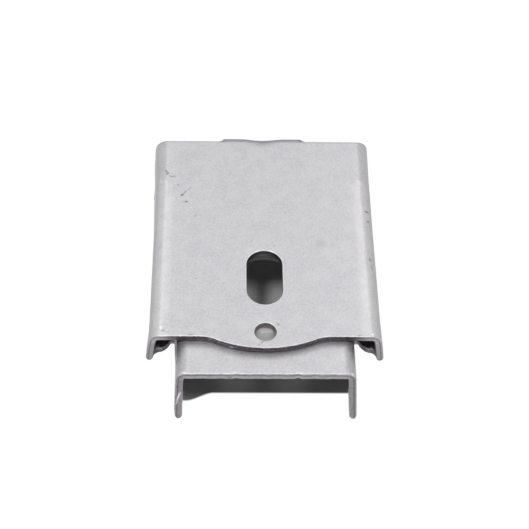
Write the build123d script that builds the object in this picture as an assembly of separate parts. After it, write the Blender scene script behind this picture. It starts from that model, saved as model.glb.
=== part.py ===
from build123d import *

import os
from math import atan2, cos, radians, sin, sqrt, tan

# Valance clip: one strip of coated steel sheet, stamped, bent and folded over on itself. Millimetres.

# Sheet
sheet = 1.1                  # thickness, with its coat
inner_bend = 0.5             # inside radius of every bend but the fold
edge_round = 0.3             # worn corner along a flange's free edge
layer_gap = 0.15             # air between the two layers at the fold

# Upper channel: a wide plate with short sides that end in lips
plate_width = 34.0           # over its bends
plate_depth = 39.0           # from the straight front edge to the fold
upper_height = 6.0           # from the top face to the lips' underside
upper_flare = 7.5            # degrees that each side leans outwards
lip_front_setback = 1.3      # from the front edge to the start of a lip
lip_rear_setback = 8.6       # from the fold to the end of a lip
lip_corner = 2.6             # how far along the lip its rounded corners reach
lip_clearance = 0.8          # from a lip's free edge to the lower channel's side

# Wave in the front edge
wave_depth = 1.95            # how far its crest stands in front of the straight edge
wave_radius = 18.0           # crest
wave_blend = 5.0             # hollow on each side, where it runs into the straight edge

# Holes
slot_width = 5.4
slot_length = 10.2
slot_setback = 11.0          # from the straight front edge to the slot's centre
pilot_diameter = 3.2
pilot_setback = 0.9          # from the straight front edge to the hole's centre
head_hole_diameter = 10.3    # in the lower layer, under the slot

# Lower channel: narrower, taller and further forward than the upper one
side_room = 3.0              # between the two channels' sides, at the bends
lower_height = 11.7          # from its own top face to the edges that it stands on
lower_flare = 4.5            # degrees
lower_reach = 5.7            # how far it stands out in front of the plate

# Neck that joins the layers at the fold
neck_width = 12.4
neck_blend = 0.8             # hollow corner between the neck and the plate's rear edge
dent_width = 5.6             # shallow dent pressed into the middle of the fold
dent_depth = 0.25

# Places that follow from the sizes. The origin is under the middle of the clip, on the surface it stands on.
outer_bend = inner_bend + sheet
middle_bend = inner_bend + sheet / 2
fold_radius = sheet + layer_gap / 2
total_depth = lower_reach + plate_depth + fold_radius
front_y = lower_reach - total_depth / 2
rear_y = front_y + plate_depth
lower_front_y = front_y - lower_reach
lower_top_z = lower_height
upper_top_z = lower_top_z + layer_gap + sheet
fold_z = lower_top_z + layer_gap / 2
lower_width = plate_width - 2 * (sheet + side_room)
slot_y = front_y + slot_setback
pilot_y = front_y + pilot_setback


def walk(x, z, moves):
    """Outline of a bent strip that starts at (x, z) on its middle line and heads for +X.

    A move is ("run", length) or ("bend", degrees to the right). The strip's two faces are half a sheet to the
    left and right of the middle line, and its ends are cut square."""
    heading = 0.0
    left, right = [], []
    for kind, amount in moves:
        side = (-sin(heading), cos(heading))
        if kind == "run":
            end_x, end_z = x + amount * cos(heading), z + amount * sin(heading)
            for offset, edges in ((sheet / 2, left), (-sheet / 2, right)):
                step = (offset * side[0], offset * side[1])
                edges.append(Line((x + step[0], z + step[1]), (end_x + step[0], end_z + step[1])))
            x, z = end_x, end_z
        else:
            turn = radians(amount)
            centre = (x - middle_bend * side[0], z - middle_bend * side[1])
            for radius, edges in ((outer_bend, left), (inner_bend, right)):
                headings = (heading, heading - turn / 2, heading - turn)
                points = [(centre[0] - radius * sin(h), centre[1] + radius * cos(h)) for h in headings]
                edges.append(ThreePointArc(*points))
            heading -= turn
            x, z = centre[0] - middle_bend * sin(heading), centre[1] + middle_bend * cos(heading)
    start = Line(right[0] @ 0, left[0] @ 0)
    end = Line(left[-1] @ 1, right[-1] @ 1)
    return make_face([start, *left, end, *right])


def channel(section, y_from, y_to):
    """Both halves of a channel, from its right half's section, between two places along its depth."""
    upright = Plane(origin=(0, y_from, 0), x_dir=(1, 0, 0), z_dir=(0, -1, 0))
    half = extrude(upright * section, amount=y_to - y_from, dir=(0, 1, 0))
    return half + mirror(half, Plane.YZ)


def plain_section(width, top_z, height, flare):
    """Right half of a web, its bend and a straight side with a worn free edge, height being that of the whole."""
    bend = radians(90 - flare)
    worn_away = edge_round * (sin(bend) + cos(bend) - 1)
    fall = sheet / 2 + middle_bend * (1 - cos(bend)) + sheet / 2 * cos(bend) - worn_away
    side = (height - fall) / sin(bend)
    web = width / 2 - outer_bend
    face = walk(0, top_z - sheet / 2, [("run", web), ("bend", 90 - flare), ("run", side)])
    free_edge = face.vertices().sort_by(Axis.Y)[:2]
    return fillet(free_edge, edge_round)


def lower_side_x(z):
    """Outer face of the lower channel's right side, at a height."""
    lean = radians(lower_flare)
    bend_x = lower_width / 2 - outer_bend * (1 - cos(lean))
    bend_z = lower_top_z - outer_bend * (1 - sin(lean))
    return bend_x + (bend_z - z) * tan(lean)


def lip_side():
    """Straight part of an upper side, between its two bends."""
    return (upper_height - sheet - 2 * middle_bend) / cos(radians(upper_flare))


def lip_start_x():
    """Where the right lip becomes level, past its bend."""
    return plate_width / 2 - outer_bend + lip_side() * sin(radians(upper_flare))


def lip_edge_x():
    """Free edge of the right lip, clear of the lower channel."""
    return lower_side_x(upper_top_z - upper_height) + lip_clearance


def lipped_section():
    """Right half of the upper channel where its side is turned in again as a level lip."""
    moves = [
        ("run", plate_width / 2 - outer_bend),
        ("bend", 90 - upper_flare),
        ("run", lip_side()),
        ("bend", 90 + upper_flare),
        ("run", lip_start_x() - lip_edge_x()),
    ]
    return walk(0, upper_top_z - sheet / 2, moves)


def lip_corner_cut(lip_end_y, inwards):
    """What rounds the right lip's corner: the space outside a quarter of an ellipse."""
    across = lip_start_x() - lip_edge_x()
    spare = 0.5
    towards_end = Align.MAX if inwards > 0 else Align.MIN
    block = Rectangle(across + spare, lip_corner + spare, align=(Align.MAX, towards_end))
    lip_bottom_z = upper_top_z - upper_height
    place = Pos(lip_start_x(), lip_end_y + inwards * lip_corner, lip_bottom_z - spare)
    return place * extrude(block - Ellipse(across, lip_corner), amount=sheet + 2 * spare, dir=(0, 0, 1))


def upper_channel():
    """Wide plate: plain sides at both ends, lipped sides between them, and a wave in its front edge."""
    plain = plain_section(plate_width, upper_top_z, upper_height, upper_flare)
    lip_front = front_y + lip_front_setback
    lip_rear = rear_y - lip_rear_setback
    lipped = channel(lipped_section(), lip_front, lip_rear)
    for lip_end_y, inwards in ((lip_front, 1), (lip_rear, -1)):
        cut = lip_corner_cut(lip_end_y, inwards)
        lipped -= cut
        lipped -= mirror(cut, Plane.YZ)
    return channel(plain, front_y, lip_front) + lipped + channel(plain, lip_rear, rear_y) + front_wave()


def front_wave():
    """Crest of the front edge: a shallow arc that hollow arcs lead back into the straight edge."""
    both = wave_radius + wave_blend
    reach = sqrt(both**2 - (both - wave_depth) ** 2)
    turn = atan2(reach, both - wave_depth)

    def hollow(angle):
        return (reach - wave_blend * sin(angle), wave_blend * (cos(angle) - 1))

    join, middle = hollow(turn), hollow(turn / 2)
    overlap = 1.0
    outline = [
        ThreePointArc((reach, 0), middle, join),
        ThreePointArc(join, (0, -wave_depth), (-join[0], join[1])),
        ThreePointArc((-join[0], join[1]), (-middle[0], middle[1]), (-reach, 0)),
        Polyline((-reach, 0), (-reach, overlap), (reach, overlap), (reach, 0)),
    ]
    return Pos(0, front_y, upper_top_z - sheet) * extrude(make_face(outline), amount=sheet, dir=(0, 0, 1))


def lower_channel():
    """Narrow channel that the clip stands on."""
    section = plain_section(lower_width, lower_top_z, lower_height, lower_flare)
    return channel(section, lower_front_y, rear_y)


def fold():
    """Neck folded half round, with hollow corners to the plate and a shallow dent in its middle."""
    half_width = neck_width / 2 + neck_blend
    ring = Circle(fold_radius) - Circle(layer_gap / 2)
    ring &= Pos(fold_radius / 2, 0) * Rectangle(fold_radius, 2 * fold_radius)
    section = Plane(origin=(0, rear_y, fold_z), x_dir=(0, 1, 0), z_dir=(1, 0, 0)) * ring
    bend = extrude(section, amount=half_width, both=True)
    corner = Pos(half_width, rear_y + neck_blend, fold_z) * Cylinder(neck_blend, 4 * fold_radius)
    beside = Pos(half_width, rear_y + neck_blend + fold_radius, fold_z) * Box(
        2 * neck_blend, 2 * fold_radius, 4 * fold_radius
    )
    trim = corner + beside
    return bend - trim - mirror(trim, Plane.YZ) - dent()


def dent():
    """Wide drum that just grazes the fold, half-way between its top and its rear."""
    radius = (dent_width**2 / 4 + dent_depth**2) / (2 * dent_depth)
    lift = (fold_radius + radius - dent_depth) * sin(radians(45))
    place = Plane(origin=(0, rear_y + lift, fold_z + lift), x_dir=(1, 0, 0), z_dir=(0, 1, -1))
    return place * Cylinder(radius, 4 * fold_radius)


def cutters():
    """Slot and pilot hole through the plate, and the screw head's hole through the lower layer."""
    through = sheet + layer_gap
    slot = extrude(SlotOverall(slot_length, slot_width, rotation=90), amount=through / 2, both=True)
    pilot = Cylinder(pilot_diameter / 2, through)
    head = Cylinder(head_hole_diameter / 2, through)
    plate_z = upper_top_z - sheet / 2
    return [
        Pos(0, slot_y, plate_z) * slot,
        Pos(0, pilot_y, plate_z) * pilot,
        Pos(0, slot_y, lower_top_z - sheet / 2) * head,
    ]


os.makedirs("parts", exist_ok=True)
clip = upper_channel() + lower_channel() + fold()
for cutter in cutters():
    clip -= cutter
export_step(clip, "parts/clip_body.step")
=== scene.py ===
import math
import bpy
import numpy as np
from mathutils import Matrix, Vector
from mathutils.geometry import delaunay_2d_cdt


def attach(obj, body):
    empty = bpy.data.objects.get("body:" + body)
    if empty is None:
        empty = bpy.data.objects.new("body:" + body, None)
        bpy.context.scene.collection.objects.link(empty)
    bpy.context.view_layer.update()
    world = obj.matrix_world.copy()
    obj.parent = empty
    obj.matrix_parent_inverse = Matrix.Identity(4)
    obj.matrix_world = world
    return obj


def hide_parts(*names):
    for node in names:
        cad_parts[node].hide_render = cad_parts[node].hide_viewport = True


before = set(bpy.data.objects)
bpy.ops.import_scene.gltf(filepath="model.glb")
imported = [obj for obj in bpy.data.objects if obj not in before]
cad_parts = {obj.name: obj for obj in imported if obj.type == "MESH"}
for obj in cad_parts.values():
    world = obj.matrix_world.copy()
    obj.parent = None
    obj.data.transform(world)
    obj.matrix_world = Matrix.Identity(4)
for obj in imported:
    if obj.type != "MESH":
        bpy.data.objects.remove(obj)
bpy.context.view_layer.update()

# Clip
# One strip of steel sheet with a satin silver-grey coat, stamped out flat, bent into two channels and folded
# over on itself at a neck. It is made here as in the press: a flat blank with its holes gets every bend.
# Sizes are millimetres. Along runs on the blank from the fold's upper end, and is below 0 round and past it.
SHEET = 1.1
LAYER_GAP = 0.15
MIDDLE_BEND = 1.05  # radius of the sheet's middle line in every bend but the fold
PLATE_WIDTH, PLATE_DEPTH = 34.0, 39.0
UPPER_HEIGHT, LOWER_HEIGHT = 6.0, 11.7
SIDE_ROOM = 3.0  # between the two channels' sides
LOWER_REACH = 5.7  # how far the lower channel stands out in front of the plate
UPPER_LEAN, LOWER_LEAN = math.radians(7.5), math.radians(4.5)
LIP_LENGTH = 1.816  # its level part
LIP_CORNER = 2.6  # how far along a lip its rounded corners reach
LIP_FRONT, LIP_REAR = PLATE_DEPTH - 1.3, 8.6
NECK_HALF, NECK_BLEND = 6.2, 0.8
DRAWN_EDGE_ROUND = 0.3  # the worn free edges in the CAD, which set how long the sides are

OUTER_BEND = MIDDLE_BEND + SHEET / 2
LOWER_WIDTH = PLATE_WIDTH - 2 * (SHEET + SIDE_ROOM)
LOWER_TOP = LOWER_HEIGHT
UPPER_TOP = LOWER_TOP + LAYER_GAP + SHEET
FOLD_MIDDLE = (SHEET + LAYER_GAP) / 2
FOLD_Z = LOWER_TOP + LAYER_GAP / 2
WHOLE_DEPTH = LOWER_REACH + PLATE_DEPTH + SHEET + LAYER_GAP / 2
REAR_Y = LOWER_REACH + PLATE_DEPTH - WHOLE_DEPTH / 2
UPPER_WEB = PLATE_WIDTH / 2 - OUTER_BEND
LOWER_WEB = LOWER_WIDTH / 2 - OUTER_BEND
UPPER_TURN, LOWER_TURN = math.pi / 2 - UPPER_LEAN, math.pi / 2 - LOWER_LEAN
LIP_TURN = math.pi / 2 + UPPER_LEAN
LIP_SIDE = (UPPER_HEIGHT - SHEET - 2 * MIDDLE_BEND) / math.cos(UPPER_LEAN)
LIP_START = UPPER_WEB + MIDDLE_BEND * UPPER_TURN + LIP_SIDE + MIDDLE_BEND * LIP_TURN
FOLD_LENGTH = math.pi * FOLD_MIDDLE
LOWER_START = -FOLD_LENGTH
LOWER_FRONT = LOWER_START - (PLATE_DEPTH + LOWER_REACH)


def plain_end(height, web, lean):
    """How far across the blank a straight side ends, for a channel of that height."""
    turn = math.pi / 2 - lean
    worn = DRAWN_EDGE_ROUND * (math.sin(turn) + math.cos(turn) - 1)
    fall = SHEET / 2 + MIDDLE_BEND * (1 - math.cos(turn)) + SHEET / 2 * math.cos(turn) - worn
    return web + MIDDLE_BEND * turn + (height - fall) / math.sin(turn)


UPPER_END = plain_end(UPPER_HEIGHT, UPPER_WEB, UPPER_LEAN)
LOWER_END = plain_end(LOWER_HEIGHT, LOWER_WEB, LOWER_LEAN)


def smooth(x, low, high):
    """0 below low, 1 above high, and an even S between them."""
    t = np.clip((x - low) / (high - low), 0, 1)
    return t * t * (3 - 2 * t)


def hump(x, centre, reach):
    """1 at the centre, 0 from reach away, with soft shoulders."""
    return 1 - smooth(np.abs(x - centre), 0, reach)


def half_section(across, web, lean, side, curl):
    """Middle line of half a bent channel: its place beside and below the web's middle, and how far it has
    turned down. Curl is how much of the lip's bend there is, from 0 on a plain side to 1."""
    turn = math.pi / 2 - lean
    angle = np.clip(across - web, 0, MIDDLE_BEND * turn) / MIDDLE_BEND
    x = np.minimum(across, web) + MIDDLE_BEND * np.sin(angle)
    z = -MIDDLE_BEND * (1 - np.cos(angle))
    left = across - web - MIDDLE_BEND * turn
    run = np.clip(left, 0, side)
    x, z = x + run * np.cos(turn), z - run * np.sin(turn)
    left = left - side
    barely = 1e-4
    rate = np.maximum(curl, barely) / MIDDLE_BEND
    bend = np.clip(left, 0, MIDDLE_BEND * LIP_TURN) * rate
    x = x + (np.sin(turn + bend) - np.sin(turn)) / rate
    z = z + (np.cos(turn + bend) - np.cos(turn)) / rate
    run = np.maximum(left - MIDDLE_BEND * LIP_TURN, 0)
    heading = angle + bend
    return x + run * np.cos(heading), z - run * np.sin(heading), heading


# How the real clip is out of true, in millimetres, the left side before the right one.
REAR_BULGE, MIDDLE_PINCH, FRONT_SPRING = (0.31, 0.12), (0.23, 0.22), (0.03, 0.06)
BULGE_LOST_BELOW = (0.60, 0.25)
LIP_END_PINCH = 0.09
FOOT_PINCH, TOE_PINCH, BACK_SPLAY = 0.15, 0.22, (0.08, 0.15)
SHIFTED_RIGHT = 0.15
FOLD_SHIFT, BURR = 0.08, 0.13
DENT_DEPTH, DENT_REACH = 0.25, 3.6


def splay(along, fall, left):
    """How far an upper side stands out from its drawn place, fall below the plate. Its plain rear end bulges
    just under the bend, more so on the left, the lips hold the middle in, and the front end springs out."""
    rear = np.where(left, *REAR_BULGE) * (1 - smooth(along, -1.0, 7.0)) * smooth(fall, 0.0, 1.2)
    rear = rear * (1 - np.where(left, *BULGE_LOST_BELOW) * smooth(fall, 1.5, 5.0))
    middle = -np.where(left, *MIDDLE_PINCH) * smooth(along, 7.0, 18.0) * (1 - smooth(along, 34.5, 38.5))
    middle = middle - np.where(left, LIP_END_PINCH, 0.0) * hump(along, 4.8, 3.6)
    front = np.where(left, *FRONT_SPRING) * smooth(along, 36.0, 38.5)
    return rear + (middle + front) * smooth(fall, 0.0, 3.0)


def sway(u, along, fall, left):
    """How far the lower channel's side stands out from its drawn place. The channel sits a little to the
    right, and its left side is pinched in at the front foot."""
    at_front = 1 - smooth(along - LOWER_FRONT, np.where(left, 6.0, 0.0), np.where(left, 15.0, 9.0))
    foot = smooth(fall, 1.0, 9.0)
    pinched = FOOT_PINCH * foot + TOE_PINCH * smooth(fall, 8.0, 11.2)
    on_left = BACK_SPLAY[0] * (1 - at_front) * foot - pinched * at_front
    on_right = SHIFTED_RIGHT * smooth(u, LOWER_WEB - 3.0, LOWER_WEB) + BACK_SPLAY[1] * (1 - at_front) * foot
    return np.where(left, on_left, on_right)


def bent(across, along, depth):
    """Where a point of the flat blank is on the folded clip. Depth is measured from the punch side of the
    sheet, which ends up on top of the plate, round the outside of the fold and under the lower layer."""
    from_fold = np.maximum(np.maximum(along, LOWER_START - along), 0)
    rear_y = REAR_Y + FOLD_SHIFT * (1 - smooth(from_fold, 0, 8))
    side_of = np.where(across < 0, -1.0, 1.0)
    u = np.abs(across)
    beside_neck = u > NECK_HALF + NECK_BLEND + 0.05
    upper = (along >= 0) | (beside_neck & (along > LOWER_START / 2))
    lower = ~upper & (beside_neck | (along <= LOWER_START))

    curl = smooth(along, LIP_REAR - 0.9, LIP_REAR + 0.1)
    curl = curl * (1 - smooth(along, LIP_FRONT - 0.1, LIP_FRONT + 0.9))
    pressed = DENT_DEPTH * hump(u, 0, DENT_REACH) * hump(-along, 0.5, 1.4)
    ux, uz, uh = half_section(u, UPPER_WEB, UPPER_LEAN, LIP_SIDE, curl)
    off = SHEET / 2 - depth - pressed * (1 - depth / SHEET)
    x = ux + off * np.sin(uh) + splay(along, -uz, across < 0)
    y = rear_y - along
    z = UPPER_TOP - SHEET / 2 + uz + off * np.cos(uh)

    endless = 1e3
    lx, lz, lh = half_section(u, LOWER_WEB, LOWER_LEAN, endless, np.zeros_like(u))
    burr = BURR * (1 - smooth(along - LOWER_FRONT, 0.0, 0.35)) * (1 - smooth(u, LOWER_WEB, LOWER_WEB + 1.0))
    off = off + burr * (1 - depth / SHEET)
    x = np.where(lower, lx - off * np.sin(lh) + sway(u, along, -lz, across < 0), x)
    y = np.where(lower, rear_y + along + FOLD_LENGTH, y)
    z = np.where(lower, LOWER_TOP - SHEET / 2 + lz - off * np.cos(lh), z)

    angle = np.clip(-along / FOLD_MIDDLE, 0, math.pi)
    radius = FOLD_MIDDLE + off
    fold = ~upper & ~lower
    x = np.where(fold, u, x)
    y = np.where(fold, rear_y + radius * np.sin(angle), y)
    z = np.where(fold, FOLD_Z + radius * np.cos(angle), z)
    return np.stack([x * side_of, y, z], axis=-1)


# Outline of the blank
# The press cuts one outline with a wavy front, two lips and a neck, and three holes. Each point of it also
# says how far the rim is rounded, on the punch side and on the die side.
WAVE_DEPTH, WAVE_RADIUS, WAVE_BLEND = 2.03, 18.0, 5.0
FRONT_RIM, REAR_RIM, LIP_RIM, NECK_RIM = (0.16, 0.20), (0.10, 0.07), (0.20, 0.12), (0.10, 0.05)
LOWER_RIM, HOLE_RIM, FREE_EDGE = (0.07, 0.16), (0.15, 0.07), (0.46, 0.46)
UPPER_CORNER, LOWER_CORNER, CORNER_REACH = (0.18, 0.22), (0.16, 0.20), 0.6
NICKS, NICK_DEPTH = ((-4.34, 0.5), (4.70, 0.6)), 0.09
SLOT_HALF_WIDTH, SLOT_HALF_LENGTH, SLOT_SETBACK = 2.7, 5.1, 11.0
PILOT_RADIUS, PILOT_SETBACK, HEAD_HOLE_RADIUS = 1.6, 0.9, 5.15
HOLE_POINTS, LIP_CORNER_POINTS, NECK_POINTS, BEND_POINTS = 56, 12, 14, 10


def wave(x):
    """How far the front edge stands out at a place across it."""
    both = WAVE_RADIUS + WAVE_BLEND
    reach = math.sqrt(both**2 - (both - WAVE_DEPTH) ** 2)
    join = reach * WAVE_RADIUS / both
    x = np.abs(x)
    crest = WAVE_DEPTH - (WAVE_RADIUS - np.sqrt(WAVE_RADIUS**2 - np.minimum(x, join) ** 2))
    hollow = WAVE_BLEND - np.sqrt(WAVE_BLEND**2 - np.clip(reach - x, 0, reach - join) ** 2)
    return np.where(x <= join, crest, np.where(x < reach, hollow, 0.0))


def uneven(x):
    """How far the worn press leaves the lower front edge from its drawn line, with a nick on each side."""
    nick = NICK_DEPTH * max(float(hump(x, place, reach)) for place, reach in NICKS)
    return 0.02 * math.sin(2.3 * x + 1) + 0.015 * math.sin(5.1 * x) - nick


def steps(start, end, size):
    """Even places from start up to, but not at, the end."""
    count = max(1, round(abs(end - start) / size))
    return [start + (end - start) * i / count for i in range(count)]


def bend_lines(web, turn):
    """Places across a bend, with its two ends."""
    return [web + MIDDLE_BEND * turn * i / BEND_POINTS for i in range(BEND_POINTS + 1)]


upper_bend = bend_lines(UPPER_WEB, UPPER_TURN)
lower_bend = bend_lines(LOWER_WEB, LOWER_TURN)
lip_bend = bend_lines(LIP_START - MIDDLE_BEND * LIP_TURN, LIP_TURN)
upper_side = [upper_bend[-1] + (lip_bend[0] - upper_bend[-1]) * share for share in (0.25, 0.5, 0.75)]
lower_side = [lower_bend[-1] + (LOWER_END - lower_bend[-1]) * i / 9 for i in range(1, 9)]


def lip_corner(i):
    """Place across a lip's rounded corner, and how far it has come from the corner's outer end."""
    angle = math.pi / 2 * i / LIP_CORNER_POINTS
    return LIP_START + LIP_LENGTH * math.sin(angle), LIP_CORNER * (1 - math.cos(angle))


def right_half():
    """Right half of the outline, from the plate's front edge round to the lower layer's front edge."""
    for x in steps(0, UPPER_WEB, size=0.3):
        yield x, PLATE_DEPTH + float(wave(x)) + 0.012 * math.sin(3.1 * x), *FRONT_RIM
    for x in [*upper_bend, *upper_side, *[b for b in lip_bend if b < UPPER_END - 0.75]]:
        yield x, PLATE_DEPTH, *FRONT_RIM
    yield UPPER_END - CORNER_REACH, PLATE_DEPTH, *UPPER_CORNER
    yield UPPER_END, PLATE_DEPTH, *FREE_EDGE
    for y in steps(PLATE_DEPTH - 0.5, LIP_FRONT + 0.3, size=0.25):
        yield UPPER_END, y, *FREE_EDGE
    for i in range(LIP_CORNER_POINTS + 1):
        x, back = lip_corner(i)
        yield x, LIP_FRONT - back, *LIP_RIM
    for y in steps(LIP_FRONT - LIP_CORNER - 0.8, LIP_REAR + LIP_CORNER + 0.4, size=0.8):
        yield LIP_START + LIP_LENGTH, y, *LIP_RIM
    for i in range(LIP_CORNER_POINTS, -1, -1):
        x, back = lip_corner(i)
        yield x, LIP_REAR + back, *LIP_RIM
    for y in steps(LIP_REAR - 0.4, 0.5, size=0.4):
        yield UPPER_END, y, *FREE_EDGE
    yield UPPER_END, 0, *REAR_RIM
    for x in reversed([*upper_bend, *upper_side, *[b for b in lip_bend if b < UPPER_END - 0.55]]):
        yield x, 0, *REAR_RIM
    for x in steps(UPPER_WEB - 0.8, NECK_HALF + NECK_BLEND + 0.5, size=0.8):
        yield x, 0, *REAR_RIM
    for i in range(NECK_POINTS + 1):
        angle = math.pi * i / NECK_POINTS
        reach_back = FOLD_MIDDLE * math.sin(angle)
        neck = NECK_HALF + NECK_BLEND - math.sqrt(NECK_BLEND**2 - (NECK_BLEND - reach_back) ** 2)
        yield neck, -FOLD_MIDDLE * angle, *NECK_RIM
    for x in steps(NECK_HALF + NECK_BLEND + 0.6, LOWER_WEB, size=0.8):
        yield x, LOWER_START, *LOWER_RIM
    for x in [*lower_bend, *lower_side, LOWER_END]:
        yield x, LOWER_START, *LOWER_RIM
    for y in steps(LOWER_START - 0.6, LOWER_FRONT + 0.6, size=0.8):
        yield LOWER_END, y, *FREE_EDGE
    yield LOWER_END, LOWER_FRONT, *FREE_EDGE
    yield LOWER_END - CORNER_REACH, LOWER_FRONT, *LOWER_CORNER
    for x in reversed([*lower_bend, *lower_side]):
        yield x, LOWER_FRONT, *LOWER_RIM
    for x in steps(LOWER_WEB - 0.2, 0, size=0.2):
        yield x, LOWER_FRONT - uneven(x), *LOWER_RIM
    yield 0, LOWER_FRONT, *LOWER_RIM


def left_half(right):
    """The same mirrored, with its own uneven front edge on the lower layer."""
    for x, y, punch, die in reversed(right[1:-1]):
        ragged_here = x < LOWER_WEB and y < LOWER_FRONT + 0.2
        yield -x, LOWER_FRONT - uneven(-x) if ragged_here else y, punch, die


def round_ended(half_width, half_length, middle_along):
    """Slot's outline, run the other way from the blank's own. A round hole is one with no straight part."""
    points = []
    straight = half_length - half_width
    for i in range(HOLE_POINTS):
        a = 2 * math.pi * (i + 0.5) / HOLE_POINTS
        end = straight if math.sin(a) > 0 else -straight
        points.append((half_width * math.cos(a), middle_along + half_width * math.sin(a) + end, *HOLE_RIM))
    return points


def signed_area(loop):
    x, y = loop[:, 0], loop[:, 1]
    return 0.5 * float(np.sum(x * np.roll(y, -1) - np.roll(x, -1) * y))


right = list(right_half())
slot_along = PLATE_DEPTH - SLOT_SETBACK
slot = round_ended(SLOT_HALF_WIDTH, SLOT_HALF_LENGTH, slot_along)
pilot = round_ended(PILOT_RADIUS, PILOT_RADIUS, PLATE_DEPTH - PILOT_SETBACK)
head_hole = round_ended(HEAD_HOLE_RADIUS, HEAD_HOLE_RADIUS, LOWER_START - slot_along)
loops = [np.array(loop) for loop in (right + list(left_half(right)), slot, pilot, head_hole)]
# The blank's own outline runs anticlockwise and its holes clockwise, so the metal is always on the left.
loops = [loop if (signed_area(loop) > 0) == (i == 0) else loop[::-1].copy() for i, loop in enumerate(loops)]


# Points inside the blank
# Rows of them lie along each bend, close together where the sheet turns. None is near the outline or a hole.
BANDS = (0.12, 0.10, 0.10, 0.10)  # along the outline, and round each hole
RIM_ROOM, FREE_EDGE_ROOM, FOLD_RIM_ROOM = 0.26, 0.52, 0.12
UPPER_SIDE_FROM, LOWER_SIDE_FROM = 18.5, 20.0


def outward(loop):
    """Direction away from the metal at each point of an outline, long enough to keep corners square."""
    here = loop[:, :2]
    ahead = np.roll(here, -1, axis=0) - here
    ahead /= np.linalg.norm(ahead, axis=1)[:, None]
    out = np.stack([ahead[:, 1], -ahead[:, 0]], axis=1)
    before = np.roll(out, 1, axis=0)
    share = 1 + np.sum(out * before, axis=1)
    return (out + before) / np.maximum(share, 0.4)[:, None]


def inside(points, loop):
    """Which points lie within a closed outline."""
    x, y = points[:, 0][:, None], points[:, 1][:, None]
    ax, ay = loop[:, 0][None], loop[:, 1][None]
    bx, by = np.roll(ax, -1), np.roll(ay, -1)
    crosses = (ay > y) != (by > y)
    with np.errstate(divide="ignore", invalid="ignore"):
        at = (bx - ax) * (y - ay) / (by - ay) + ax
    return (np.sum(crosses & (x < at), axis=1) % 2) == 1


def nearest(points, loop):
    """Distance from each point to an outline."""
    a = loop[:, :2]
    b = np.roll(a, -1, axis=0)
    line = b - a
    t = np.einsum("pij,ij->pi", points[:, None] - a[None], line) / np.sum(line * line, axis=1)
    foot = a[None] + np.clip(t, 0, 1)[..., None] * line[None]
    return np.min(np.linalg.norm(points[:, None] - foot, axis=2), axis=1)


upper_across = [0.0, *steps(1.2, UPPER_WEB - 0.6, size=1.2), UPPER_WEB - 0.4]
upper_across += [*upper_bend, *upper_side, *lip_bend, LIP_START + 0.6, LIP_START + 1.2]
upper_along = sorted({round(y, 3) for y in [
    0.3, *steps(0.6, LIP_REAR - 1.4, size=0.8), *steps(LIP_REAR - 1.4, LIP_REAR + 1.6, size=0.2),
    *steps(LIP_REAR + 1.6, LIP_FRONT - 1.6, size=0.9), *steps(LIP_FRONT - 1.6, PLATE_DEPTH - 0.4, size=0.2),
    *steps(PLATE_DEPTH + 0.3, PLATE_DEPTH + 1.6, size=0.4)]})
lower_across = [0.0, *steps(1.2, LOWER_WEB - 0.6, size=1.2), LOWER_WEB - 0.4, *lower_bend, *lower_side]
lower_along = steps(LOWER_START - 0.6, LOWER_FRONT + 0.2, size=0.9)
fold_across = steps(0, NECK_HALF, size=0.45)
fold_along = [LOWER_START * i / 18 for i in range(19)]

grid = []
for rows, columns in ((upper_across, upper_along), (lower_across, lower_along), (fold_across, fold_along)):
    grid += [(sign * x, y) for x in rows for y in columns for sign in (1, -1) if x or sign > 0]
grid = np.array(grid)
in_metal = inside(grid, loops[0])
for hole in loops[1:]:
    in_metal &= ~inside(grid, hole)
grid = grid[in_metal]
room = np.min([nearest(grid, loop) - band for loop, band in zip(loops, BANDS)], axis=0)
from_middle, blank_along = np.abs(grid[:, 0]), grid[:, 1]
clear_of_rim = np.where(from_middle > UPPER_SIDE_FROM, FREE_EDGE_ROOM, RIM_ROOM)
clear_of_rim = np.where((blank_along < 0) & (from_middle > LOWER_SIDE_FROM), FREE_EDGE_ROOM, clear_of_rim)
on_fold = (blank_along < 0.01) & (blank_along > LOWER_START - 0.01)
grid = grid[room > np.where(on_fold, FOLD_RIM_ROOM, clear_of_rim)]

# The solid mesh
# Both faces of the sheet are filled between their rims, and the rims and cut walls join them. How far round
# a rim a point is, and how deep in the sheet, is kept as its values cut and hidden.
RIM_STEPS = 3
WALL_SHARES = (0.33, 0.66)
BEND_SPREAD = 0.7
TINY = 1e-3
coordinates, cut_values, hidden_values, normals, faces = [], [], [], [], []


def eased(u, along):
    """How much further a bend leans near its two ends, where pressed sheet runs softly into its flats."""
    on_upper = along > LOWER_START / 2
    web, turn = np.where(on_upper, UPPER_WEB, LOWER_WEB), np.where(on_upper, UPPER_TURN, LOWER_TURN)
    length = MIDDLE_BEND * turn
    sharp = turn * np.clip((np.abs(u) - web) / length, 0, 1)
    return turn * smooth(np.abs(u), web - BEND_SPREAD, web + length + BEND_SPREAD) - sharp


def surface_normal(u, v, d):
    """Direction out of the punch side at points of the blank."""
    du = bent(u + TINY, v, d) - bent(u - TINY, v, d)
    dv = bent(u, v + TINY, d) - bent(u, v - TINY, d)
    n = np.cross(dv, du)
    n /= np.linalg.norm(n, axis=1)[:, None]
    lean = eased(u, v) * np.where(u < 0, -1.0, 1.0)
    x = n[:, 0] * np.cos(lean) + n[:, 2] * np.sin(lean)
    z = n[:, 2] * np.cos(lean) - n[:, 0] * np.sin(lean)
    return np.stack([x, n[:, 1], z], axis=1)


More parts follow.
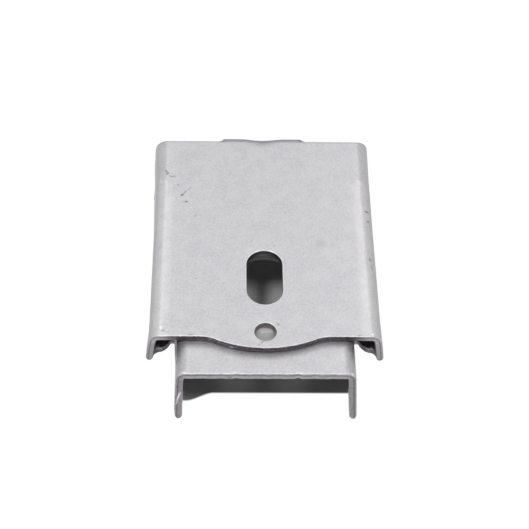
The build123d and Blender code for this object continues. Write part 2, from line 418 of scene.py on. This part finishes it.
def add_points(flat, depth, normal, cut):
    """Adds points of the blank at their depth in the sheet, and gives the number of the first."""
    first = sum(len(c) for c in coordinates)
    coordinates.append(bent(flat[:, 0], flat[:, 1], depth))
    normals.append(normal)
    cut_values.append(np.full(len(flat), cut))
    share = depth / SHEET
    hidden_values.append(np.where(flat[:, 1] < LOWER_START / 2, 1 - share, share))
    return first


def add_rim(loop):
    """Adds the rounded rims and the cut wall of one outline, and gives the first number of each ring."""
    flat, punch, die = loop[:, :2], loop[:, 2], loop[:, 3]
    out = outward(loop)
    level = out / np.linalg.norm(out, axis=1)[:, None]
    middle = np.zeros(len(flat)) + SHEET / 2
    wall = bent(flat[:, 0], flat[:, 1], middle)
    wall = wall - bent(flat[:, 0] - level[:, 0] * TINY, flat[:, 1] - level[:, 1] * TINY, middle)
    wall /= np.linalg.norm(wall, axis=1)[:, None]
    safe = flat - level * 0.01
    face = surface_normal(safe[:, 0], safe[:, 1], middle)
    ring = []
    for i in range(RIM_STEPS + 1):
        a = math.pi / 2 * i / RIM_STEPS
        place = flat - out * (punch * (1 - math.sin(a)))[:, None]
        depth = punch * (1 - math.cos(a))
        ring.append(add_points(place, depth, face * math.cos(a) + wall * math.sin(a), 0.5 * i / RIM_STEPS))
    for share in WALL_SHARES:
        ring.append(add_points(flat, punch + (SHEET - punch - die) * share, wall, 1.0))
    for i in range(RIM_STEPS, -1, -1):
        a = math.pi / 2 * i / RIM_STEPS
        place = flat - out * (die * (1 - math.sin(a)))[:, None]
        depth = SHEET - die * (1 - math.cos(a))
        ring.append(add_points(place, depth, -face * math.cos(a) + wall * math.sin(a), 0.5 * i / RIM_STEPS))
    count = len(flat)
    for a, b in zip(ring, ring[1:]):
        for i in range(count):
            j = (i + 1) % count
            faces.append((a + j, b + j, b + i, a + i))
    return ring


rings = [add_rim(loop) for loop in loops]


def fill(which, depth, facing):
    """Fills one face of the sheet between the rims' innermost rings."""
    flat_points, numbers, edges = [], [], []
    for loop, ring in zip(loops, rings):
        radius = loop[:, 2] if which == 0 else loop[:, 3]
        rim = loop[:, :2] - outward(loop) * radius[:, None]
        first, count = len(flat_points), len(loop)
        flat_points += [Vector(p) for p in rim]
        numbers += [ring[which] + i for i in range(count)]
        edges += [(first + i, first + (i + 1) % count) for i in range(count)]
    rims = np.array([list(p) for p in flat_points])
    depths = np.full(len(grid), depth)
    n = surface_normal(grid[:, 0], grid[:, 1], depths) * facing
    start = add_points(grid, depths, n, 0.0)
    flat_points += [Vector(p) for p in grid]
    numbers += [start + i for i in range(len(grid))]
    points, _, triangles, sources, _, _ = delaunay_2d_cdt(flat_points, edges, [], 0, 1e-7, True)
    middles = np.array([sum((points[i] for i in t), Vector((0, 0))) / 3 for t in triangles])
    first = len(loops[0])
    metal = inside(middles, rims[:first])
    for hole in loops[1:]:
        metal &= ~inside(middles, rims[first:first + len(hole)])
        first += len(hole)
    for triangle, kept in zip(triangles, metal):
        if kept:
            face = [numbers[sources[i][0]] for i in triangle]
            faces.append(face[::-1] if facing > 0 else face)


fill(0, 0.0, 1)
fill(-1, SHEET, -1)

METRE = 0.001
places = np.concatenate(coordinates) * METRE
mesh = bpy.data.meshes.new("clip_body_looks")
mesh.from_pydata([tuple(p) for p in places], [], [tuple(int(i) for i in f) for f in faces])
mesh.update()
for name, values in (("cut", cut_values), ("hidden", hidden_values)):
    layer = mesh.attributes.new(name, "FLOAT", "POINT")
    layer.data.foreach_set("value", np.concatenate(values).astype(np.float32))
mesh.shade_smooth()
directions = np.concatenate(normals)
directions /= np.linalg.norm(directions, axis=1)[:, None]
mesh.normals_split_custom_set_from_vertices([tuple(n) for n in directions])
clip = bpy.data.objects.new("clip_body_looks", mesh)
bpy.context.scene.collection.objects.link(clip)
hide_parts("clip_body")
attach(clip, "root")

# Coat and cut steel
# A satin silver-grey coat covers both faces of the sheet. The press cut the edges through it, and the rims
# are worn, so the cut walls and parts of the rims show dark steel.
COAT_PALE, COAT_DEEP = (0.488, 0.482, 0.499, 1), (0.385, 0.380, 0.397, 1)
COAT_FADED, PAINTED_SHEEN = (0.56, 0.555, 0.555, 1), (0.68, 0.665, 0.65, 1)
PAINTED_INSIDE_SHADE, PAINTED_HOLE_SHADE = (0.14, 0.136, 0.14, 1), (0.22, 0.222, 0.21, 1)
PALE_WEAR_AND_PAINTED_LIGHT = (0.80, 0.79, 0.775, 1)
STEEL_PALE, STEEL_DEEP = (0.42, 0.41, 0.43, 1), (0.33, 0.32, 0.335, 1)
PAINTED_END_REFLECTION = (0.75, 0.73, 0.74, 1)
SHEARED_AND_SHADE_PALE, SHEARED_AND_SHADE_DEEP = (0.13, 0.115, 0.125, 1), (0.05, 0.045, 0.048, 1)
DIRT_AND_SHADE, SEAM_SHADE_COLOUR = (0.10, 0.085, 0.09, 1), (0.015, 0.012, 0.013, 1)
STEEL_ROUGHNESS = 0.38
RELIEF_STRENGTH, RELIEF_HEIGHT = 0.3, 0.00002

coat = bpy.data.materials.new("silver_coat_on_steel")
coat.use_nodes = True
tree = coat.node_tree
shader = tree.nodes["Principled BSDF"]


def node(kind, **settings):
    """Adds a node to the tree, with its own settings."""
    made = tree.nodes.new(kind)
    for key, value in settings.items():
        setattr(made, key, value)
    return made


def join(source, socket):
    tree.links.new(source, socket)


def maths(operation, a, b=None, clamp=False):
    """One sum on two sockets or numbers."""
    made = node("ShaderNodeMath", operation=operation, use_clamp=clamp)
    for i, value in enumerate((a, b)):
        if isinstance(value, (int, float)):
            made.inputs[i].default_value = value
        elif value is not None:
            join(value, made.inputs[i])
    return made.outputs[0]


def together(*masks):
    """Product of masks, which is only 1 where every one of them is."""
    value = masks[0]
    for mask in masks[1:]:
        value = maths("MULTIPLY", value, mask)
    return value


def spread(value, low, high, to_low=0.0, to_high=1.0):
    """Maps a socket's values from one range to another, and stops at its ends."""
    made = node("ShaderNodeMapRange", interpolation_type="SMOOTHSTEP")
    join(value, made.inputs["Value"])
    for key, number in (("From Min", low), ("From Max", high), ("To Min", to_low), ("To Max", to_high)):
        made.inputs[key].default_value = number
    return made.outputs["Result"]


def blend_colours(factor, a, b):
    """Colour a where the factor is 0, and b where it is 1."""
    made = node("ShaderNodeMix", data_type="RGBA")
    for key, value in ((0, factor), (6, a), (7, b)):
        if isinstance(value, tuple):
            made.inputs[key].default_value = value
        else:
            join(value, made.inputs[key])
    return made.outputs[2]


in_mm = node("ShaderNodeVectorMath", operation="SCALE")
in_mm.inputs["Scale"].default_value = 1 / METRE
join(node("ShaderNodeTexCoord").outputs["Object"], in_mm.inputs[0])
mm = in_mm.outputs[0]


def noise(scale, detail=2.0, roughness=0.5, vector=mm):
    """Cloudy pattern, scale being its waves to the millimetre."""
    made = node("ShaderNodeTexNoise")
    made.inputs["Scale"].default_value = scale
    made.inputs["Detail"].default_value = detail
    made.inputs["Roughness"].default_value = roughness
    join(vector, made.inputs["Vector"])
    return made.outputs["Fac"]


grain = noise(3.8, 3.0, 0.7)
coat_colour = blend_colours(spread(grain, 0.32, 0.68), COAT_DEEP, COAT_PALE)
coat_colour = blend_colours(spread(noise(0.45, 3.0), 0.35, 0.7, 0.0, 0.22), coat_colour, COAT_FADED)

place = node("ShaderNodeSeparateXYZ")
join(mm, place.inputs[0])
in_x, in_y, in_z = (place.outputs[letter] for letter in "XYZ")
across_plate = maths("ABSOLUTE", in_x)

# The side bends of the plate get a painted sheen, a paler coat standing in for their highlight, but not at
# their plain rear ends.
on_bends = together(spread(across_plate, 13.6, 14.8), spread(across_plate, 16.0, 16.8, 1.0, 0.0))
bend_sheen = together(on_bends, spread(in_y, 12.0, 13.5, 0.25, 0.0))
bend_sheen = together(bend_sheen, spread(noise(0.6, 3.0), 0.3, 0.6, 0.4, 1.0))
coat_colour = blend_colours(bend_sheen, coat_colour, PAINTED_SHEEN)


def attribute(name):
    return node("ShaderNodeAttribute", attribute_name=name).outputs["Fac"]


# Where the coat ends: it thins on the rounded rims, which are painted pale, partly as wear and partly as a
# painted highlight along each rim, most of all at the holes.
cut, hidden = attribute("cut"), attribute("hidden")
ragged = maths("MULTIPLY", maths("SUBTRACT", noise(2.2, 3.0, 0.6), 0.5), 0.35)
near_holes = together(spread(across_plate, 3.2, 3.4, 1.0, 0.0), spread(in_y, -18.5, -18.2))
at_holes = together(near_holes, spread(in_y, 0.0, 1.0, 1.0, 0.0), spread(in_z, 11.8, 12.1))
edge = maths("SUBTRACT", maths("ADD", cut, ragged), maths("MULTIPLY", at_holes, 0.18))
bare = spread(edge, 0.20, 0.36)
rim_wear_and_highlight = together(spread(cut, 0.02, 0.2), spread(noise(0.9, 3.0, 0.6), 0.42, 0.62, 0.05, 0.40))
shoulders = together(at_holes, spread(across_plate, 0.3, 1.1, 0.25, 0.9))
rim_wear_and_highlight = maths("MAXIMUM", rim_wear_and_highlight, together(spread(cut, 0.02, 0.15), shoulders))
coat_colour = blend_colours(together(rim_wear_and_highlight, spread(in_y, 20.2, 21.2, 1.0, 0.0)), coat_colour, PALE_WEAR_AND_PAINTED_LIGHT)
# A painted shade: a darker line along the plate's rear edge, where it turns down into the fold.
coat_colour = blend_colours(spread(in_y, 21.45, 21.75, 0.0, 0.35), coat_colour, DIRT_AND_SHADE)
# Painted shade: the faces turned inwards, under the plate and under the lower layer, are coloured much
# darker.
coat_colour = blend_colours(spread(hidden, 0.9, 1.0, 0.0, 0.7), coat_colour, PAINTED_INSIDE_SHADE)

# Cut walls: a dark line where the punch tore the sheet, between smoother bands. The plate's own edges are
# painted darker all over, but for their corners and the slot: painted shade and a painted dark reflection of
# the gap and the lower web beneath the plate. Its sides' ends are painted paler, a painted reflection of the
# floor.
steel_colour = blend_colours(spread(noise(1.3, 4.0, 0.65), 0.35, 0.65), STEEL_DEEP, STEEL_PALE)
torn = together(spread(maths("ABSOLUTE", maths("SUBTRACT", hidden, 0.34)), 0.02, 0.12, 0.8, 0.0), bare)
steel_colour = blend_colours(torn, steel_colour, SHEARED_AND_SHADE_DEEP)
past_slot = maths("MAXIMUM", spread(in_y, -14.0, -13.0, 1.0, 0.0), spread(in_y, 0.0, 1.0))
edge_shade = together(spread(across_plate, 12.5, 15.2, 1.0, 0.0), spread(in_z, 11.6, 12.0), past_slot)
edge_shade_colour = blend_colours(spread(noise(2.5, 3.0), 0.3, 0.7), SHEARED_AND_SHADE_DEEP, SHEARED_AND_SHADE_PALE)
steel_colour = blend_colours(edge_shade, steel_colour, edge_shade_colour)
lower_corners = together(spread(across_plate, 11.2, 12.2, 0.0, 0.40), spread(in_z, 10.6, 11.4, 1.0, 0.0))
steel_colour = blend_colours(lower_corners, steel_colour, SHEARED_AND_SHADE_PALE)
upper_ends = together(spread(across_plate, 14.6, 15.6), spread(in_z, 6.0, 6.8, 0.0, 0.10))
steel_colour = blend_colours(upper_ends, steel_colour, PAINTED_END_REFLECTION)
# Painted shade: the plate's slot walls are darker, and the rims where the two layers meet in the slot darker
# still.
slot_wall_shade = together(spread(across_plate, 2.9, 3.1, 0.50, 0.0), spread(in_y, -13.0, -12.0))
steel_colour = blend_colours(together(slot_wall_shade, spread(in_z, 11.6, 11.9)), steel_colour, SHEARED_AND_SHADE_DEEP)
slot_rim_shade = together(slot_wall_shade, spread(in_z, 11.75, 11.85, 1.3, 0.0), spread(in_z, 11.50, 11.60))
slot_rim_shade = together(slot_rim_shade, spread(in_y, 0.0, 1.0, 1.0, 0.0))

# Dirt and wear, and painted highlights, as small ovals with ragged outlines. Each row is a place, half a
# length and a width, a turn in degrees and a strength.
RAGGED, RAGGED_MIDDLE, MARK_DEPTH = 0.24, 0.12, 0.7
wavy_noise = node("ShaderNodeTexNoise")
wavy_noise.inputs["Scale"].default_value = 3.0
wavy_noise.inputs["Detail"].default_value = 2.0
join(mm, wavy_noise.inputs["Vector"])
wavy = node("ShaderNodeVectorMath", operation="MULTIPLY_ADD")
join(wavy_noise.outputs["Color"], wavy.inputs[0])
wavy.inputs[1].default_value = (RAGGED, RAGGED, RAGGED)
join(mm, wavy.inputs[2])


def mark(x, y, z, half_length, half_width, turn, strength, on_front):
    """The strength inside an oval on a level or front face, fading to 0 outside it."""
    made = node("ShaderNodeMapping", vector_type="TEXTURE")
    join(wavy.outputs[0], made.inputs["Vector"])
    made.inputs["Location"].default_value = (x + RAGGED_MIDDLE, y + RAGGED_MIDDLE, z + RAGGED_MIDDLE)
    turned = math.radians(turn)
    made.inputs["Rotation"].default_value = (0, -turned, 0) if on_front else (0, 0, turned)
    size = (half_length, MARK_DEPTH, half_width) if on_front else (half_length, half_width, MARK_DEPTH)
    made.inputs["Scale"].default_value = size
    far = node("ShaderNodeVectorMath", operation="LENGTH")
    join(made.outputs[0], far.inputs[0])
    return spread(far.outputs["Value"], 0.55, 1.35, strength, 0.0)


def all_marks(rows, on_front=False):
    """The strongest of several marks."""
    value = mark(*rows[0], on_front)
    for row in rows[1:]:
        value = maths("MAXIMUM", value, mark(*row, on_front))
    return value


TOP = UPPER_TOP
DIRT_MARKS = [
    (-15.30, 15.05, TOP, 0.38, 0.14, -40, 0.58), (-15.12, 14.62, TOP, 0.34, 0.15, 32, 0.66),
    (-14.62, 14.05, TOP, 0.34, 0.13, -22, 0.43), (-14.15, 14.02, TOP, 0.36, 0.14, 18, 0.47),
    (-13.36, 12.18, TOP, 0.20, 0.20, 0, 0.43), (-12.01, 8.71, TOP, 0.24, 0.20, 0, 0.62),
    (-12.40, 8.62, TOP, 0.20, 0.10, 10, 0.27),
    (-12.74, 10.09, TOP, 0.26, 0.19, 45, 0.78), (-12.30, 10.65, TOP, 0.42, 0.10, 52, 0.51),
    (-11.65, 11.45, TOP, 0.55, 0.09, 52, 0.35), (8.71, 0.32, TOP, 0.85, 0.85, 0, 0.12),
    (-14.82, -16.24, TOP, 0.30, 0.16, 20, 0.47), (-14.20, -16.50, TOP, 0.45, 0.08, 0, 0.27),
    (1.89, -15.07, TOP, 0.22, 0.20, 0, 0.43), (-0.95, -18.70, TOP, 0.30, 0.10, 40, 0.55),
    (-0.55, -18.30, TOP, 0.30, 0.12, 50, 0.47), (16.07, 6.89, TOP - 0.2, 0.34, 0.20, -10, 0.70),
    (16.19, 4.93, TOP - 0.2, 0.22, 0.20, 0, 0.62), (16.02, -2.77, TOP - 0.2, 0.24, 0.30, 0, 0.43),
    (16.15, -4.30, TOP - 0.2, 0.12, 0.40, 0, 0.31), (-10.63, 5.72, TOP, 0.34, 0.10, 5, 0.27),
    (3.35, 6.48, TOP, 0.16, 0.14, 0, 0.27), (1.58, -0.25, TOP, 0.30, 0.10, 40, 0.31),
    (-10.32, -6.62, TOP, 0.20, 0.12, 0, 0.23), (11.40, 9.20, TOP, 0.10, 0.45, 0, 0.20),
    (13.60, -17.00, TOP, 0.40, 0.12, 0, 0.43), (-10.80, -16.90, TOP, 0.50, 0.10, 0, 0.31),
]
# Pale marks are worn spots, and painted highlights such as the bright spots where the side bends kink at the
# lips' rear ends.
WEAR_AND_GLINT_MARKS = [
    (15.55, -16.79, TOP, 0.20, 0.16, 0, 0.8), (-4.34, -22.85, LOWER_TOP, 0.40, 0.14, 0, 0.7),
    (4.70, -22.85, LOWER_TOP, 0.50, 0.14, 0, 0.7), (-16.20, 13.10, TOP - 0.25, 0.25, 0.50, 0, 0.22),
    (-15.50, 12.90, TOP, 0.30, 0.50, 20, 0.25), (15.32, 12.90, TOP, 0.40, 0.65, 30, 0.28),
    (-15.20, -15.70, TOP, 0.22, 0.35, 10, 0.35), (-11.70, -22.70, LOWER_TOP - 0.2, 0.30, 0.20, 0, 0.5),
    (12.40, -22.70, LOWER_TOP - 0.5, 0.25, 0.25, 0, 0.7),
]
FRONT_Y, EDGE_Y = -22.94, -17.30
END_DIRT = [
    (-12.70, FRONT_Y, 8.30, 0.60, 0.13, 5, 0.75), (12.70, FRONT_Y, 8.20, 0.60, 0.12, -4, 0.75),
    (-12.30, FRONT_Y, 9.60, 0.25, 0.20, 30, 0.5), (-12.95, FRONT_Y, 5.60, 0.12, 0.60, 8, 0.3),
    (12.50, FRONT_Y, 9.90, 0.30, 0.12, 20, 0.4), (13.00, FRONT_Y, 3.00, 0.12, 0.80, 0, 0.3),
    (-13.30, FRONT_Y, 0.90, 0.40, 0.25, 0, 0.35), (4.10, FRONT_Y, 11.55, 0.30, 0.10, 0, 0.6),
    (-5.20, FRONT_Y, 10.75, 0.35, 0.12, 0, 0.6),
]
# Painted highlights: a bright facet on the left foot's end, and glints on burrs along the plate's front edge.
END_GLINTS = [
    (-12.60, FRONT_Y, 5.90, 0.16, 1.20, -14, 0.9), (-12.85, FRONT_Y, 4.40, 0.10, 0.60, -14, 0.7),
    (-6.80, EDGE_Y, 12.40, 0.30, 0.10, 10, 0.8), (-4.90, EDGE_Y - 1.0, 12.20, 0.35, 0.10, 15, 0.8),
    (-7.90, EDGE_Y + 0.05, 12.60, 0.20, 0.08, 0, 0.6),
]
steel_colour = blend_colours(all_marks(END_GLINTS, on_front=True), steel_colour, PALE_WEAR_AND_PAINTED_LIGHT)
steel_colour = blend_colours(all_marks(END_DIRT, on_front=True), steel_colour, DIRT_AND_SHADE)
stretched = node("ShaderNodeVectorMath", operation="MULTIPLY")
join(mm, stretched.inputs[0])
stretched.inputs[1].default_value = (1.1, 4.5, 1.0)
scuffs = spread(noise(1.0, 3.0, vector=stretched.outputs[0]), 0.66, 0.76, 0.0, 0.22)
dirt = all_marks(DIRT_MARKS)
coat_colour = blend_colours(scuffs, coat_colour, DIRT_AND_SHADE)
coat_colour = blend_colours(all_marks(WEAR_AND_GLINT_MARKS), coat_colour, PALE_WEAR_AND_PAINTED_LIGHT)
coat_colour = blend_colours(dirt, coat_colour, DIRT_AND_SHADE)

# The lower layer is painted dark where the pilot hole bares it, a painted shade in the hole, and painted pale
# at the rear of that spot to even out the hole's own shading.
PILOT_Y = -16.3
under_hole = node("ShaderNodeVectorMath", operation="DISTANCE")
join(mm, under_hole.inputs[0])
under_hole.inputs[1].default_value = (0, PILOT_Y, LOWER_TOP)
bared = spread(under_hole.outputs["Value"], 1.8, 2.4, 1.0, 0.0)
bared = together(bared, spread(in_z, 11.75, 11.80, 1.0, 0.0))
hole_shade = together(bared, spread(in_y, PILOT_Y - 0.3, PILOT_Y + 1.1, 0.9, 0.0))
coat_colour = blend_colours(hole_shade, coat_colour, PAINTED_HOLE_SHADE)
hole_rear_light = together(bared, spread(in_y, PILOT_Y + 0.4, PILOT_Y + 1.2, 0.0, 0.9))
coat_colour = blend_colours(hole_rear_light, coat_colour, PALE_WEAR_AND_PAINTED_LIGHT)

# A painted shade darkens the lower rim of the plate's front edge, standing in for the dark gap between the
# layers.
seam_shade = together(spread(hidden, 0.80, 0.90), spread(cut, 0.02, 0.12), spread(in_y, -16.9, -16.7, 1.0, 0.0))
seam_shade = together(seam_shade, spread(across_plate, 12.6, 13.8, 0.9, 0.0), spread(in_z, 11.6, 11.8))
whole_colour = blend_colours(slot_rim_shade, blend_colours(bare, coat_colour, steel_colour), SHEARED_AND_SHADE_DEEP)
join(blend_colours(seam_shade, whole_colour, SEAM_SHADE_COLOUR), shader.inputs["Base Color"])
join(spread(bare, 0, 1, 0.75, 0.9), shader.inputs["Metallic"])
rough = node("ShaderNodeMix", data_type="FLOAT")
join(bare, rough.inputs[0])
coat_rough = maths("ADD", spread(grain, 0.3, 0.7, 0.38, 0.49), maths("MULTIPLY", dirt, 0.3), clamp=True)
join(coat_rough, rough.inputs[2])
rough.inputs[3].default_value = STEEL_ROUGHNESS
join(rough.outputs[0], shader.inputs["Roughness"])

relief = maths("ADD", maths("MULTIPLY", grain, 0.35), maths("MULTIPLY", noise(1.1, 2.0), 0.65))
bump = node("ShaderNodeBump")
bump.inputs["Strength"].default_value = RELIEF_STRENGTH
bump.inputs["Distance"].default_value = RELIEF_HEIGHT
join(maths("SUBTRACT", relief, maths("MULTIPLY", dirt, 1.2)), bump.inputs["Height"])
join(bump.outputs["Normal"], shader.inputs["Normal"])
mesh.materials.append(coat)

# Floor
# A table that the clip stands on. It is plain white outside the clip's footprint, and a shadowed pale grey
# table inside it. Metal sees it white too, but for the part under the plate. Sizes are metres from here on.
HALF_FLOOR = 1.5
TABLE = (0.60, 0.60, 0.60, 1)
SOFT = 0.0002
SHADE_FRONT, SHADE_REAR, REAR_FADE = -0.0184, 0.0225, 0.009
FEET_HALF, FEET_MIDDLE, FEET_REAR = 0.0132, 0.0002, -0.0093
BULGE_FROM, BULGE_TO, BULGE = -0.0118, -0.0075, 0.0014  # the shadow's outline runs forward at its left end
SIDE_FADE_FROM, SIDE_FADE_TO = 0.0145, 0.0180
UNDER_HALF, UNDER_FRONT, UNDER_FADE = 0.0165, -0.0185, 0.001

floor_mesh = bpy.data.meshes.new("floor")
corners = [(x * HALF_FLOOR, y * HALF_FLOOR, 0) for x, y in ((-1, -1), (1, -1), (1, 1), (-1, 1))]
floor_mesh.from_pydata(corners, [], [(0, 1, 2, 3)])
floor = bpy.data.objects.new("floor", floor_mesh)
bpy.context.scene.collection.objects.link(floor)
white = bpy.data.materials.new("white_table")
white.use_nodes = True
tree = white.node_tree
tree.nodes.clear()
output = node("ShaderNodeOutputMaterial")
table = node("ShaderNodeBsdfDiffuse")
table.inputs["Color"].default_value = TABLE
plain_white = node("ShaderNodeEmission")


def seen_by():
    """Masks of the rays that look straight at a surface, and of those that metal sends out."""
    seen = node("ShaderNodeLightPath")
    straight = maths("MAXIMUM", seen.outputs["Is Camera Ray"], seen.outputs["Is Transmission Ray"])
    return straight, seen.outputs["Is Glossy Ray"]


straight_on, by_metal = seen_by()
spot = node("ShaderNodeSeparateXYZ")
join(node("ShaderNodeTexCoord").outputs["Object"], spot.inputs[0])
floor_x, floor_y = spot.outputs["X"], spot.outputs["Y"]
beside = maths("ABSOLUTE", floor_x)
forward_of = maths("SUBTRACT", SHADE_FRONT, spread(floor_x, BULGE_FROM, BULGE_TO, BULGE, 0.0))
clear_front = spread(maths("SUBTRACT", floor_y, forward_of), -SOFT, SOFT, 1.0, 0.0)
from_feet = maths("ABSOLUTE", maths("SUBTRACT", floor_x, FEET_MIDDLE))
past_feet = spread(from_feet, FEET_HALF - SOFT, FEET_HALF + SOFT)
clear_ahead = spread(floor_y, FEET_REAR - SOFT, FEET_REAR + SOFT, 1.0, 0.0)
clear_beside = spread(beside, SIDE_FADE_FROM, SIDE_FADE_TO)
clear_side = together(past_feet, maths("MAXIMUM", clear_ahead, clear_beside))
clear_rear = spread(floor_y, SHADE_REAR, SHADE_REAR + REAR_FADE)
clear = maths("MAXIMUM", maths("MAXIMUM", clear_front, clear_side), clear_rear)
under_plate = together(
    maths("SUBTRACT", 1.0, clear_rear), spread(beside, UNDER_HALF, UNDER_HALF + UNDER_FADE, 1.0, 0.0),
    spread(floor_y, UNDER_FRONT, UNDER_FRONT + UNDER_FADE))
white_in_metal = together(by_metal, maths("SUBTRACT", 1.0, under_plate))
either = node("ShaderNodeMixShader")
join(maths("MAXIMUM", together(straight_on, clear), white_in_metal), either.inputs[0])
join(table.outputs[0], either.inputs[1])
join(plain_white.outputs[0], either.inputs[2])
join(either.outputs[0], output.inputs["Surface"])
floor_mesh.materials.append(white)

# Lamps
# Four pairs of soft lamps hang left and right of the clip: in front of it, behind it, far behind it, and a
# weak pair lower down, turned towards it. Each row is a place beside and behind the clip, a height, a size
# across and along, and the left and the right power.
LAMPS = (
    ("front", 0.22, -0.26, 0.80, 0.14, 0.22, 2.7, 2.0),
    ("rear", 0.32, 0.38, 0.80, 0.30, 0.30, 0.55, 0.75),
    ("far", 0.25, 0.80, 0.80, 0.16, 0.40, 1.0, 0.9),
    ("side", 0.81, 0.76, 0.47, 0.30, 0.40, 0.25, 0.10),
)
for end, beside_clip, behind, height, width, depth, left_power, right_power in LAMPS:
    for side_name, side, power in (("left", -1, left_power), ("right", 1, right_power)):
        lamp = bpy.data.lights.new(f"{end}_{side_name}_lamp", "AREA")
        lamp.shape = "RECTANGLE"
        lamp.size, lamp.size_y = width, depth
        lamp.energy = power
        holder = bpy.data.objects.new(lamp.name, lamp)
        holder.location = (side * beside_clip, behind, height)
        if end == "side":
            holder.rotation_euler = (-Vector(holder.location)).to_track_quat("-Z", "Y").to_euler()
        holder.visible_camera = False
        bpy.context.scene.collection.objects.link(holder)

# Room
# Plain white all round, as bright walls round a small table. It lights the clip weakly, and metal sees a grey
# stretch low on the far wall, which gives the bends their darker strips.
ROOM_LIGHT = 0.11
FAR_WALL_GREY = 0.5
world = bpy.data.worlds.new("white_room")
bpy.context.scene.world = world
world.use_nodes = True
tree = world.node_tree
background = tree.nodes["Background"]
background.inputs["Color"].default_value = (1, 1, 1, 1)
straight_on, by_metal = seen_by()
towards = node("ShaderNodeSeparateXYZ")
join(node("ShaderNodeTexCoord").outputs["Generated"], towards.inputs[0])
low_down = spread(towards.outputs["Z"], 0.30, 0.85, 1.0, 0.0)
straight_behind = spread(maths("ABSOLUTE", towards.outputs["X"]), 0.25, 0.60, 1.0, 0.0)
far_wall = together(low_down, spread(towards.outputs["Y"], 0.0, 0.4), straight_behind)
white_in_metal = together(by_metal, maths("SUBTRACT", 1.0, maths("MULTIPLY", far_wall, FAR_WALL_GREY)))
strength = maths("MAXIMUM", maths("MAXIMUM", straight_on, white_in_metal), ROOM_LIGHT)
join(strength, background.inputs["Strength"])

# Camera
# It stands in front of the clip and looks down on it, fitted to points of the clip in the photograph.
YAW, PITCH, ROLL = math.radians(2.117), math.radians(50.994), math.radians(1.959)
FOCAL_PIXELS, SHIFT_PIXELS, PICTURE_PIXELS = 1350.0, 6.26, 529
CAMERA_PLACE = (-0.005661, -0.131690, 0.170868)
forward = Vector((math.sin(YAW) * math.cos(PITCH), math.cos(YAW) * math.cos(PITCH), -math.sin(PITCH)))
level_right = Vector((math.cos(YAW), -math.sin(YAW), 0))
level_up = level_right.cross(forward)
camera_right = math.cos(ROLL) * level_right + math.sin(ROLL) * level_up
camera_up = math.cos(ROLL) * level_up - math.sin(ROLL) * level_right
lens = bpy.data.cameras.new("camera")
lens.sensor_width = 36.0
lens.lens = FOCAL_PIXELS / PICTURE_PIXELS * lens.sensor_width
lens.shift_x = SHIFT_PIXELS / PICTURE_PIXELS
lens.clip_start, lens.clip_end = 0.01, 10
camera = bpy.data.objects.new("camera", lens)
turned = Matrix((camera_right, camera_up, -forward)).transposed().to_4x4()
camera.matrix_world = Matrix.Translation(CAMERA_PLACE) @ turned
bpy.context.scene.collection.objects.link(camera)
bpy.context.scene.camera = camera
bpy.context.scene.view_settings.view_transform = "Standard"
